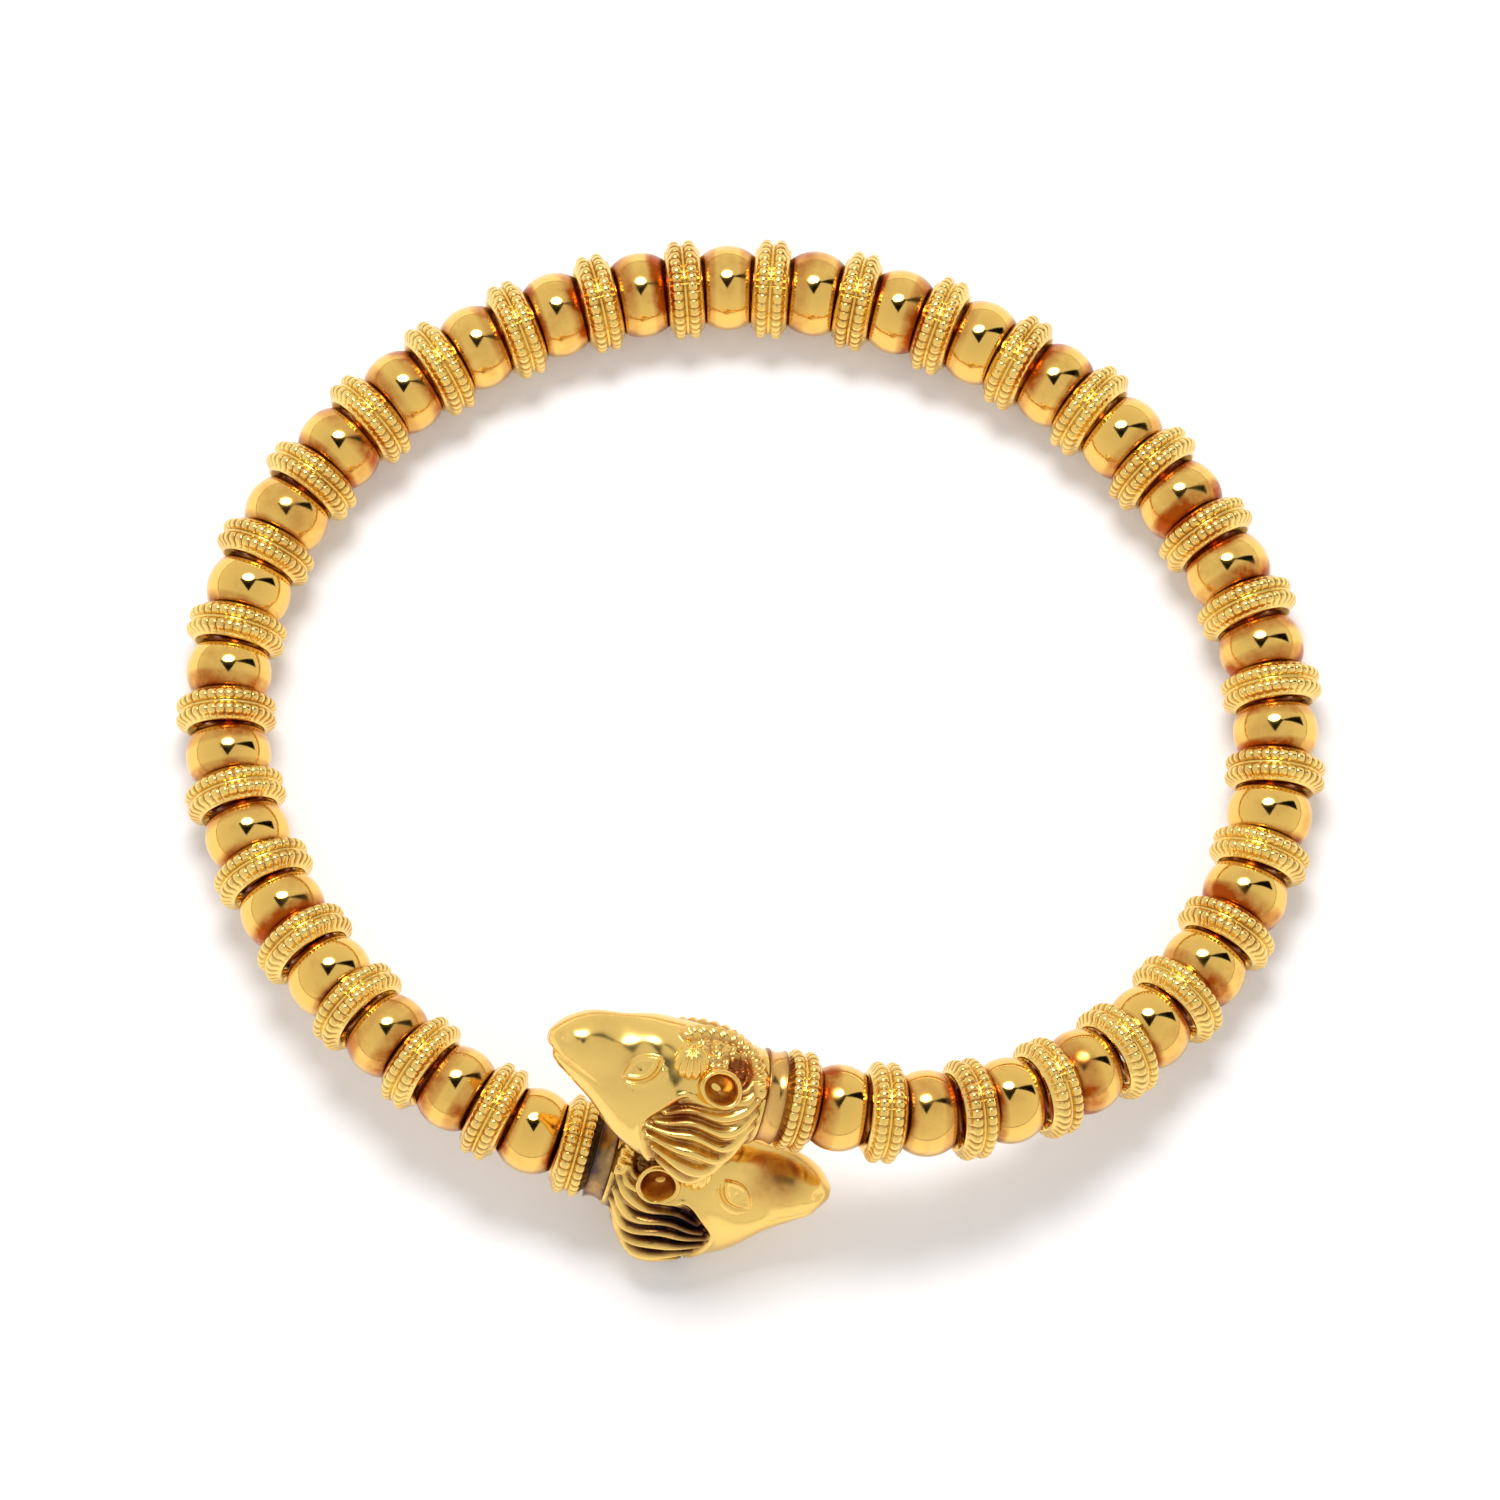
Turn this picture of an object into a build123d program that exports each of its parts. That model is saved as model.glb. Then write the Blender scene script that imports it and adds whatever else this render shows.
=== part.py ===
from build123d import *
import os
from collections import namedtuple
from math import radians, sqrt, tan

# A collar necklace: polished beads and granulated rings on a sprung wire that
# runs round the neck and ends in two animal heads, one lying over the other.
# Millimetres. It lies on a table: Z = 0 is the table, X runs along the longest
# side of the loop, +Y points to the back of the neck and the heads are at -Y.

os.makedirs("parts", exist_ok=True)

# The string of beads
bead_count = 33
bead_diameter = 11.6
bead_barrel_radius = 5.3      # lengthwise curve of a bead's side
bead_seat_depth = 0.35        # how far each end of a bead stands inside a ring

# The granulated rings between the beads
ring_spacing = 7.05           # open length between two rings, one bead wide
ring_diameter = 13.5          # over the two rows of granules
ring_width = 4.8
row_thickness = 1.6           # of each half-round row
row_spacing = 2.1             # between the middles of the two rows
lip_diameter = 10.8           # the plain rim on each face
lip_width = 0.25
groove_depth = 0.75           # of the valley between the two rows
groove_wire = 0.4             # the plain wire lying in the valley
seat_clearance = 0.6          # round a bead where it enters a ring
seat_extra_depth = 0.75       # left behind the bead's end

# The sprung wire
core_diameter = 2.0
bore_clearance = 0.55         # round the wire in beads, rings and collars
core_end_depth = 5.0          # of the wire in each head
core_end_clearance = 0.15
core_bend_share = 0.45        # of the shorter straight run, used up by a bend on each side

# The smooth collar between the last ring and each head
collar_length = 2.4
collar_diameter = 12.6
collar_waist = 0.35           # hollow of its side
part_gap = 0.12               # left between neighbouring pieces

# The heads, in a frame whose X is the neck's axis, Z the crown and Y the sides
head_length = 29.0            # neck face to nose
crown_height = 8.1            # above the neck's axis
throat_depth = 13.0           # below the neck's axis
cheek_half_width = 7.0
upper_head_lean = 68.0        # degrees the crown leans into the loop
lower_head_lean = 53.0

ear_along = 0.22              # share of the head's length
ear_level = 1.1
ear_length = 5.6              # of the oval cup, along the head
ear_width = 4.7
ear_height = 2.3
ear_wall = 0.6
ear_hollow_depth = 1.5
horn_along = 0.37             # the ribbed bud before the ear
horn_level = 3.3
horn_radius = 2.45
horn_sink = 0.65              # of the bud's middle below the skin
eye_along = 0.59
eye_level = 1.4
eye_radius = 1.9
eye_proud = 0.45
crest_thickness = 2.0
crest_sink = 0.3              # of the crest's middle below the skin
lock_sink = 0.25              # share of a lock's radius below the skin
skin_edge = 0.97              # share of a section's height past which its side counts as level

# The centre line of the string where it lies, from the lower head round the
# back to the upper head: x, y and the rise above a ring that rests on the table.
route_points = [
    (-23.3, -57.1, 5.3),
    (-41.4, -48.2, 7.0),
    (-62.8, -24.1, 3.0),
    (-70.8, 0.0, 0.5),
    (-65.9, 27.4, 0.0),
    (-41.6, 54.1, 0.0),
    (-8.5, 64.9, 0.0),
    (26.5, 59.4, 0.0),
    (55.2, 38.7, 0.0),
    (70.5, 7.9, 0.0),
    (67.0, -20.3, 0.4),
    (57.2, -36.3, 2.5),
    (40.1, -49.9, 9.0),
    (20.5, -55.2, 15.1),
    (5.9, -54.2, 18.0),
]
route_start_direction = (-0.955, 0.235, 0.12)
route_end_direction = (-0.965, 0.12, 0.23)

# The head's cross-sections, as shares of head_length, crown_height,
# throat_depth and cheek_half_width; "widest" is the level of the widest line
# as a share of crown_height.
Section = namedtuple("Section", "along crown throat width widest")
head_sections = [
    Section(0.00, 0.73, 0.50, 0.88, 0.00),
    Section(0.10, 0.82, 0.68, 0.95, -0.03),
    Section(0.22, 0.92, 0.94, 1.00, -0.06),
    Section(0.36, 0.98, 0.90, 0.96, -0.07),
    Section(0.50, 1.00, 0.80, 0.85, -0.03),
    Section(0.63, 0.97, 0.64, 0.72, 0.07),
    Section(0.76, 0.94, 0.36, 0.61, 0.20),
    Section(0.88, 0.80, 0.15, 0.52, 0.30),
    Section(0.965, 0.58, -0.03, 0.34, 0.34),
    Section(1.00, 0.44, -0.17, 0.13, 0.34),
]

# The twisted crest on each side of the crown, from the bud back and down to the
# neck: along as shares of head_length, level as shares of crown_height.
crest_stops = [
    (0.40, 0.81),
    (0.30, 0.88),
    (0.18, 0.83),
    (0.10, 0.69),
    (0.055, 0.44),
    (0.04, 0.17),
]

# The mane's locks on each side, crescents that run from behind the ear down
# and forward under it: along as shares of head_length, level as shares of
# throat_depth above (+) or below (-) the neck's axis.
Lock = namedtuple("Lock", "start middle end thickness")
mane_locks = [
    Lock((0.06, 0.30), (0.13, -0.02), (0.27, -0.15), 1.7),
    Lock((0.05, 0.12), (0.13, -0.17), (0.32, -0.25), 1.8),
    Lock((0.04, -0.04), (0.14, -0.32), (0.37, -0.36), 1.8),
    Lock((0.05, -0.20), (0.16, -0.48), (0.41, -0.47), 1.8),
    Lock((0.05, -0.34), (0.17, -0.64), (0.44, -0.58), 1.9),
    Lock((0.07, -0.48), (0.18, -0.80), (0.44, -0.70), 2.0),
    Lock((0.10, -0.62), (0.20, -0.93), (0.42, -0.82), 2.0),
]

# Worked-out sizes
pitch = ring_spacing + ring_width
ring_radius = ring_diameter / 2
bore_radius = core_diameter / 2 + bore_clearance
string_length = bead_count * pitch


def route_curve(size):
    """The string's centre line, with its chosen points drawn `size` times as large."""
    points = [(size * x, size * y, ring_radius + size * rise) for x, y, rise in route_points]
    directions = [route_start_direction, route_end_direction]
    return Spline(*points, tangents=directions, tangent_scalars=[1.0, 1.0])


route = route_curve(string_length / route_curve(1.0).length)


def plane_on_route(distance):
    """A plane across the string, its Z along the route, `distance` from the start."""
    centre = route.position_at(distance, position_mode=PositionMode.LENGTH)
    along = route.tangent_at(distance, position_mode=PositionMode.LENGTH)
    return Plane(origin=centre, z_dir=along)


def bead_side(x):
    """Radius of a bead's side at x from its middle."""
    return bead_diameter / 2 - bead_barrel_radius + sqrt(bead_barrel_radius**2 - x**2)


# One bead, its axis along Z
bead_half_length = ring_spacing / 2 + bead_seat_depth
bead_end_radius = bead_side(bead_half_length)
with BuildPart() as bead_form:
    with BuildSketch(Plane.XZ):
        with BuildLine():
            ThreePointArc(
                (bead_end_radius, -bead_half_length),
                (bead_diameter / 2, 0),
                (bead_end_radius, bead_half_length),
            )
            Polyline(
                (bead_end_radius, bead_half_length),
                (bore_radius, bead_half_length),
                (bore_radius, -bead_half_length),
                (bead_end_radius, -bead_half_length),
            )
        make_face()
    revolve(axis=Axis.Z)

# One granulated ring, its axis along Z: a drum that narrows to a lip on each
# face, two half-round rows and the wire in the valley between them
row_radius = row_thickness / 2
row_circle_radius = ring_radius - row_radius
drum_radius = ring_radius - groove_depth
seat_mouth_radius = bead_side(ring_spacing / 2) + seat_clearance
seat_floor_radius = bead_end_radius + seat_clearance
seat_depth = bead_seat_depth + seat_extra_depth
with BuildPart() as ring_form:
    with BuildSketch(Plane.XZ):
        with BuildLine():
            Polyline(
                (0, 0),
                (drum_radius, 0),
                (drum_radius, row_spacing / 2),
                (lip_diameter / 2, ring_width / 2 - lip_width),
                (lip_diameter / 2, ring_width / 2),
                (0, ring_width / 2),
                close=True,
            )
        make_face()
        mirror(about=Plane.XZ)
        with Locations((row_circle_radius, row_spacing / 2), (row_circle_radius, -row_spacing / 2)):
            Circle(row_radius)
        with Locations((drum_radius, 0)):
            Circle(groove_wire / 2)
    revolve(axis=Axis.Z)
    with BuildSketch(Plane.XZ):
        with BuildLine():
            Polyline(
                (0, ring_width / 2),
                (seat_mouth_radius, ring_width / 2),
                (seat_floor_radius, ring_width / 2 - seat_depth),
                (0, ring_width / 2 - seat_depth),
                close=True,
            )
        make_face()
        mirror(about=Plane.XZ)
    revolve(axis=Axis.Z, mode=Mode.SUBTRACT)
    Cylinder(bore_radius, ring_width, mode=Mode.SUBTRACT)

# One neck collar, its axis along Z and its ring-side face at Z = 0
with BuildPart() as collar_form:
    with BuildSketch(Plane.XZ):
        with BuildLine():
            ThreePointArc(
                (collar_diameter / 2, 0),
                (collar_diameter / 2 - collar_waist, collar_length / 2),
                (collar_diameter / 2, collar_length),
            )
            Polyline(
                (collar_diameter / 2, collar_length),
                (bore_radius, collar_length),
                (bore_radius, 0),
                (collar_diameter / 2, 0),
            )
        make_face()
    revolve(axis=Axis.Z)


def section_at(along):
    """The head's section at a share of its length, between the table's rows."""
    for near, far in zip(head_sections, head_sections[1:]):
        if along <= far.along:
            part_way = (along - near.along) / (far.along - near.along)
            return Section(*(a + part_way * (b - a) for a, b in zip(near, far)))
    return head_sections[-1]


def skin_side(along, level):
    """Half width of the head at a share of its length and a level in mm."""
    section = section_at(along)
    middle = section.widest * crown_height
    if level > middle:
        reach = section.crown * crown_height - middle
    else:
        reach = section.throat * throat_depth + middle
    share = min(abs(level - middle) / reach, skin_edge)
    return section.width * cheek_half_width * sqrt(1 - share**2)


def skin_point(along, level, side, sink):
    """A point `sink` mm below the head's skin, on side +1 or -1."""
    return (along * head_length, side * (skin_side(along, level) - sink), level)


# One head. X = 0 is the neck's face.
with BuildPart() as head_form:
    for section in head_sections:
        middle = section.widest * crown_height
        half_width = section.width * cheek_half_width
        with BuildSketch(Plane.YZ.offset(section.along * head_length)):
            with BuildLine():
                EllipticalCenterArc(
                    (0, middle), half_width, section.crown * crown_height - middle, 0, arc_size=180
                )
                EllipticalCenterArc(
                    (0, middle), half_width, section.throat * throat_depth + middle, 180, arc_size=180
                )
            make_face()
    loft()

    for side in (1, -1):
        # Mane
        for lock in mane_locks:
            sink = lock.thickness / 2 * lock_sink
            start, middle, end = (
                skin_point(along, share * throat_depth, side, sink)
                for along, share in (lock.start, lock.middle, lock.end)
            )
            with BuildLine() as lock_line:
                ThreePointArc(start, middle, end)
            with BuildSketch(Plane(origin=lock_line.line @ 0, z_dir=lock_line.line % 0)):
                Circle(lock.thickness / 2)
            sweep(path=lock_line.line)
        # Crest
        crest_points = [
            skin_point(along, share * crown_height, side, crest_sink) for along, share in crest_stops
        ]
        with BuildLine() as crest_line:
            Spline(*crest_points)
        with BuildSketch(Plane(origin=crest_line.line @ 0, z_dir=crest_line.line % 0)):
            Circle(crest_thickness / 2)
        sweep(path=crest_line.line)
        # Eyeball
        with Locations(skin_point(eye_along, eye_level, side, eye_radius - eye_proud)):
            Sphere(eye_radius)

    # Horn buds and cup ears
    for side in (1, -1):
        with Locations(skin_point(horn_along, horn_level, side, horn_sink)):
            Sphere(horn_radius)
        ear_plane = Plane(
            origin=skin_point(ear_along, ear_level, side, ear_wall),
            x_dir=(side, 0, 0),
            z_dir=(0, side, 0),
        )
        with BuildSketch(ear_plane):
            Ellipse(ear_length / 2, ear_width / 2)
        extrude(amount=ear_height)
        with BuildSketch(ear_plane.offset(ear_height)):
            Ellipse(ear_length / 2 - ear_wall, ear_width / 2 - ear_wall)
        extrude(amount=-ear_hollow_depth, mode=Mode.SUBTRACT)

    # Socket for the end of the wire
    with BuildSketch(Plane.YZ):
        Circle(core_diameter / 2 + core_end_clearance)
    extrude(amount=core_end_depth + part_gap, mode=Mode.SUBTRACT)


def head_plane(ring_plane, forward, lean):
    """The head's frame past an end ring: X forward, Z the crown, leaning into the loop."""
    upright = (Vector(0, 0, 1) - forward * forward.Z).normalized()
    inward = upright.cross(forward)
    inward = inward if inward.Y > 0 else inward * -1
    axis = Axis(ring_plane.origin, forward)
    turn = lean if upright.rotate(axis, lean).dot(inward) > 0 else -lean
    neck = ring_plane.origin + forward * (ring_width / 2 + collar_length + 2 * part_gap)
    return Plane(origin=neck, x_dir=forward, z_dir=upright.rotate(axis, turn))


# Beads
for number in range(1, bead_count + 1):
    with BuildPart() as bead:
        add(bead_form.part.moved(plane_on_route((number - 0.5) * pitch).location))
    name = f"bead_{number:02d}"
    bead.part.label = name
    export_step(bead.part, f"parts/{name}.step")

# Rings, in two strings that meet at the back of the neck
ring_planes = [plane_on_route(number * pitch) for number in range(bead_count + 1)]
half_count = len(ring_planes) // 2
for name, planes in (
    ("spacer_rings_left", ring_planes[:half_count]),
    ("spacer_rings_right", ring_planes[half_count:]),
):
    with BuildPart() as spacer_rings:
        for ring_plane in planes:
            add(ring_form.part.moved(ring_plane.location))
    spacer_rings.part.label = name
    export_step(spacer_rings.part, f"parts/{name}.step")

# Collars and heads at both ends
first_ring, last_ring = ring_planes[0], ring_planes[-1]
end_places = (
    ("lower", first_ring, first_ring.z_dir * -1, lower_head_lean),
    ("upper", last_ring, last_ring.z_dir, upper_head_lean),
)
core_tips = {}
for place, ring_plane, forward, lean in end_places:
    collar_start = ring_plane.origin + forward * (ring_width / 2 + part_gap)
    with BuildPart() as neck_collar:
        add(collar_form.part.moved(Plane(origin=collar_start, z_dir=forward).location))
    neck_collar.part.label = f"neck_collar_{place}"
    export_step(neck_collar.part, f"parts/neck_collar_{place}.step")

    frame = head_plane(ring_plane, forward, lean)
    with BuildPart() as head:
        add(head_form.part.moved(frame.location))
    head.part.label = f"head_{place}"
    export_step(head.part, f"parts/head_{place}.step")
    core_tips[place] = frame.origin + forward * core_end_depth

# The sprung wire, straight between ring centres with a tangent arc at each
core_stops = [core_tips["lower"]]
core_stops += [ring_plane.origin for ring_plane in ring_planes]
core_stops += [core_tips["upper"]]
core_radii = []
for before, here, after in zip(core_stops, core_stops[1:], core_stops[2:]):
    run_in, run_out = here - before, after - here
    turn = run_in.get_angle(run_out)
    core_radii.append(core_bend_share * min(run_in.length, run_out.length) / tan(radians(turn / 2)))
with BuildPart() as core_wire:
    with BuildLine() as core_path:
        FilletPolyline(*core_stops, radius=core_radii)
    with BuildSketch(Plane(origin=core_stops[0], z_dir=core_stops[1] - core_stops[0])):
        Circle(core_diameter / 2)
    sweep(path=core_path.line)
core_wire.part.label = "core_wire"
export_step(core_wire.part, "parts/core_wire.step")
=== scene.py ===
import bpy
import math
import numpy as np
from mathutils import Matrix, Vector


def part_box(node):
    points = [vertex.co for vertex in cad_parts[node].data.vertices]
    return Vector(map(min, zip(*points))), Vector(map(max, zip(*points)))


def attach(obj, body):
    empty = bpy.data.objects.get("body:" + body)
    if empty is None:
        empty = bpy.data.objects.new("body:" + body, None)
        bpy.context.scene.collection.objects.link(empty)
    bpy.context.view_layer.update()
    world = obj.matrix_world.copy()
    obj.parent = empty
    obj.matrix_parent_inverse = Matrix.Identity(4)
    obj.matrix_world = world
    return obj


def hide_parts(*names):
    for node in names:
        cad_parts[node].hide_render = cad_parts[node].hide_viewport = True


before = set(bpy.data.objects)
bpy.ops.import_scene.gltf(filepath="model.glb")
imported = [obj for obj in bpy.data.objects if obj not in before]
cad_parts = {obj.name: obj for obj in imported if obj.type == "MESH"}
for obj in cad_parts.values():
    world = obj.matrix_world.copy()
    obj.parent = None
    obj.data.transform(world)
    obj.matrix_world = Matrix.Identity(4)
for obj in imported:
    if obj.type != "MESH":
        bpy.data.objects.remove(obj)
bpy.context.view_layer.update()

MM = 0.001

# Beads
BEAD_COUNT = 33
BEAD_RADIUS = 5.8 * MM
BEAD_BARREL_RADIUS = 5.3 * MM      # lengthwise curve of a bead's side
BEAD_HALF_LENGTH = 3.87 * MM
BEAD_BORE = 1.55 * MM
BEAD_ROWS = 25
BEAD_COLUMNS = 64
STAIN_STARTS = (0.1, 0.7)          # nearest and farthest start of a stain, shares of the half length
STAIN_STRENGTHS = (0.7, 1.4)       # weakest and strongest
STAIN_SOFTNESS = 0.4               # the lower, the steeper the stain's edge
BEAD_RIM = (0.7, 0.92)             # where the dark rim begins and is full, shares of the half length
BEAD_RIM_PATINA = 0.7

# Rings. Half of a ring's outline from the valley to the lip, in mm along from the ring's
# middle and out from the axis, with the share to which the grooves between granules cut it
RING_SIDE = np.array([
    # along, out, cut
    (0.27, 5.95, 0.0),
    (0.31, 6.21, 0.4),
    (0.42, 6.49, 1.0),
    (0.62, 6.68, 1.0),
    (0.86, 6.75, 1.0),
    (1.16, 6.75, 1.0),
    (1.42, 6.66, 1.0),
    (1.64, 6.44, 1.0),
    (1.80, 6.12, 1.0),
    (1.96, 5.80, 0.9),
    (2.14, 5.53, 0.4),
    (2.40, 5.38, 0.0),
    (2.40, 5.06, 0.0),
])
ROW_MIDDLE = (1.05 * MM, 5.85 * MM)  # of a row of granules: along from the ring's middle, and out
GRANULES = 33                      # round one row
GRANULE_CUT = 0.26                 # depth between two granules, share of the row's height
GRANULE_STEPS = (-1.0, -0.78, -0.4, 0.0, 0.4, 0.78)  # points across a granule, from -1 to 1
VALLEY_RADIUS = 6.1 * MM
VALLEY_WIRE = 0.2 * MM             # radius of the plain wire between the rows
VALLEY_WIRE_TURNS = (155, 90, 25)  # degrees round the plain wire where its points lie
GROOVE_TARNISH = 0.9
GROOVE_PATINA = 0.4
END_RING_SHARE = 0.45              # place of an end ring from its collar's middle to the bead's
PART_GAP = 0.12 * MM

# Neck collars
COLLAR_LENGTH = 2.4 * MM
COLLAR_RADIUS = 6.3 * MM
COLLAR_WAIST = 0.35 * MM
COLLAR_ROWS = 13
COLLAR_COLUMNS = 72
COLLAR_TARNISH = 0.15
COLLAR_RIM_TARNISH = 0.7           # more at the rims than at the waist
COLLAR_PATINA = {"upper": 0.0, "lower": 0.75}
COLLAR_RIM_PATINA = 0.2            # more at the rims than at the waist

# Heads: X from the neck's face to the nose, Z the crown, Y the sides, in mm
HEAD_LENGTH = 29.0
CROWN_HEIGHT = 8.1
THROAT_DEPTH = 13.0
CHEEK_HALF_WIDTH = 7.0
HEAD_LEAN = {"upper": 68.0, "lower": 53.0}  # degrees from upright, the crown towards the loop
HEAD_FILMS = {"upper": (0.3, 0.1), "lower": (0.9, 0.9)}  # groove patina and muzzle stain
HEAD_ROWS = 212
HEAD_ROW_CROWDING = 1.25           # over 1, the rows crowd towards the nose
HEAD_HALF_COLUMNS = 185

# The head's cross-sections, as shares of its length, crown height, throat depth and
# cheek half width; "widest" is the level of the widest line as a share of the crown height
HEAD_SECTIONS = np.array([
    # along, crown, throat, width, widest
    (0.00, 0.73, 0.50, 0.88, 0.00),
    (0.10, 0.82, 0.68, 0.95, -0.03),
    (0.22, 0.92, 0.94, 1.00, -0.06),
    (0.36, 0.98, 0.90, 0.96, -0.07),
    (0.50, 1.00, 0.80, 0.85, -0.03),
    (0.63, 0.97, 0.64, 0.72, 0.07),
    (0.76, 0.94, 0.36, 0.61, 0.20),
    (0.88, 0.80, 0.15, 0.52, 0.30),
    (0.965, 0.58, -0.03, 0.34, 0.34),
    (1.00, 0.44, -0.17, 0.13, 0.34),
])

# Face, in mm along and above the neck's axis
FACE_FORMS = (
    # along, level, reach, height
    (12.6, -1.0, 3.6, 0.65),       # cheek
    (15.6, 5.0, 2.4, 0.55),        # brow
    (25.6, 3.0, 3.2, 0.6),         # muzzle
    (20.5, 6.3, 2.2, -0.5),        # dip over the nose
    (20.6, -0.6, 2.4, -0.5),       # hollow behind the mouth
    (17.1, 1.3, 3.2, -0.45),       # eye socket
    (27.4, 3.3, 0.6, -0.45),       # nostril
)
MOUTH = ((29.2, 1.6), (27.6, 0.7), (25.0, -0.6), (22.4, -2.0))
MOUTH_DEPTH = 0.4
MOUTH_HALF_WIDTH = 0.28
MOUTH_FADE = 0.7                   # share of the depth lost by the mouth's corner
MUZZLE_STAIN = (22.0, 4.6, 3.0, 1.0)  # along, level, reach, strength

# Eye
EYE = (17.1, 1.4)
EYE_TILT = -38.0                   # degrees from the head's length, the inner corner low
EYE_HALF_LENGTH = 2.45
EYE_HALF_HEIGHT = 1.15
EYE_RIM_HEIGHT = 0.58
EYE_RIM_HALF_WIDTH = 0.25
EYE_BALL_HEIGHT = 0.6
EYE_BALL_SINK = 0.2
PUPIL_DEPTH = 0.2
PUPIL_RADIUS = 0.28
EYE_CREASE_REACH = 1.25            # where the creases end, share of the eye's half length
EYE_CREASES = (
    # out from the rim, height, half width
    (0.6, -0.26, 0.2),
    (1.0, 0.2, 0.26),
    (1.45, -0.14, 0.2),
)
EYE_STAIN = (4.5 ** 0.5, 0.6)      # reach, strength

# Ear
EAR = (6.6, 0.9)
EAR_RADII = (2.75, 2.35)
EAR_POINT = 235.0                  # degrees from the head's length, where the leaf ends
EAR_LEAF = 0.2                     # how much wider the oval is at its leaf's end
EAR_SINK = 0.35                    # how far the wall's zero lies inside the skin
EAR_PIT_DEPTH = 2.6                # how far the skin sinks under the bowl
EAR_HIGH_SIDE = -60.0              # degrees from the head's length, where the wall is highest
EAR_SLANT = 0.25                   # how much higher the wall is there, share of its height
EAR_COLUMNS = 64
# The ear's wall from its foot over the rim to the middle of the bowl: share of the oval
# outline, and mm out from the cheek
EAR_WALL = (
    (0.95, -1.6), (1.06, -0.6), (1.08, 0.4), (1.05, 1.0), (0.99, 1.35), (0.92, 1.45), (0.84, 1.35),
    (0.78, 1.0), (0.74, 0.4), (0.67, -0.25), (0.57, -0.8), (0.43, -1.2), (0.25, -1.5), (0.08, -1.64),
)
EAR_RIM_ROW = 6
BOWL_TARNISH = 0.7
PAINTED_SHADE_UNDER_EAR = (9.5, -3.4, 12 ** 0.5, 1.0)  # along, level, reach, strength of the painted shade under the ear

# Horn bud
BUD = (10.8, 3.3)
BUD_RADIUS = 2.45
BUD_POLE = (0.12, 0.5, 0.86)       # direction of the bud's top
BUD_SINK = 0.1                     # how far its middle lies inside the skin
BUD_LOBES = 12
BUD_GROOVE = 0.16                  # depth between two lobes, share of the radius
BUD_ROWS = 40
BUD_LOBE_COLUMNS = 10
BUD_POLE_GAP = 0.02                # radians left to the cap at either pole

# The twisted crest on each side of the crown, from the bud back and down to the neck
CREST = ((11.6, 6.6), (8.6, 7.1), (5.2, 6.7), (2.9, 5.6), (1.6, 3.6), (1.2, 1.4))
CREST_WIDTH = 2.5
CREST_HEIGHT = 1.5
CREST_SINK = 0.25
CREST_TURNS = 12
CREST_SLANT = 1.1                  # radians of twist for each mm off the crest's middle

# Fleece between the two crests
FLEECE_BACK = 1.6
FLEECE_FRONT = 10.4
FLEECE_LOWEST = 2.2
FLEECE_LENGTH = (2.8, 10.2)        # from the first curl's middle to past the last one's
FLEECE_LEVELS = (2.6, 7.2)
CURL_SPACING = 0.85
CURL_SHIFT = 0.25
CURL_RADII = (0.42, 0.58)
CURL_HEIGHT = 0.42

# The smooth cheek's back edge, from under the ear to the corner of the jaw
CHEEK_EDGE = (
    (3.2, -1.4), (7.5, -2.1), (10.8, -1.3), (13.3, -3.3), (15.1, -5.6), (14.6, -8.2), (12.8, -10.8),
)
CHEEK_LIP_HEIGHT = 0.3
CHEEK_LIP_HALF_WIDTH = 0.4
CHEEK_LIP_PLACE = 0.35             # before the edge

# The mane's locks on each side, from behind the ear down and forward under it: along as
# shares of the head's length, level as shares of the throat depth above or below the axis
LOCKS = (
    # start, middle, end, thickness in mm
    ((0.07, 0.30), (0.10, 0.06), (0.25, -0.11), 1.4),
    ((0.04, 0.16), (0.12, -0.09), (0.39, -0.17), 1.7),
    ((0.03, 0.02), (0.14, -0.23), (0.45, -0.28), 1.9),
    ((0.03, -0.12), (0.14, -0.39), (0.48, -0.39), 2.0),
    ((0.03, -0.26), (0.15, -0.54), (0.51, -0.47), 2.0),
    ((0.05, -0.40), (0.17, -0.70), (0.50, -0.57), 2.1),
    ((0.08, -0.54), (0.20, -0.85), (0.46, -0.68), 2.1),
    ((0.12, -0.68), (0.24, -0.95), (0.42, -0.80), 2.0),
)
LOCK_HEIGHT = 0.66                 # share of the thickness
LOCK_SINK = 0.45
LOCK_TIP = 0.32                    # a lock's least thickness, share of that in its middle
LOCK_LEAN = 0.18                   # share by which its one side is higher and the other lower
LOCK_WAVE = 0.27                   # how far the locks sway to either side, in mm
LOCK_WAVE_TURN = (0.85, 0.4)       # radians of sway for each mm along and round the head
PARTING_DEPTH = 0.26               # share of the lock's height
PARTING_PLACE = 0.15               # off the lock's middle, share of the thickness
PARTING_HALF_WIDTH = 0.15
MANE_DEPTH = 0.5                   # of the ground under the locks
MANE_BLEND = (-0.3, 0.7)           # over which the ground sinks, in mm behind the cheek's edge
NECK_BLEND = (0.2, 1.0)            # over which it begins, in mm from the neck's face
BEHIND_EAR = (6.0, 5.0)            # how far along and how high the ground lies behind the ear

# The films on the head, from where each is full to where it ends: height of the locks, the
# relief or the crest, in mm
LOCK_FILM = (0.55, 1.2)
PAINTED_SHADE_FILM_REACH = (0.4, 0.25)       # added to both under the ear, where painted shade widens the dark film
GROUND_FILM = (-0.35, 0.12)
EYE_FILM = (-0.45, 0.05)
CREST_FILM = (0.5, 1.1)
CREST_FILM_STRENGTH = 0.8
CURL_FILM_STRENGTH = 0.5

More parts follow.
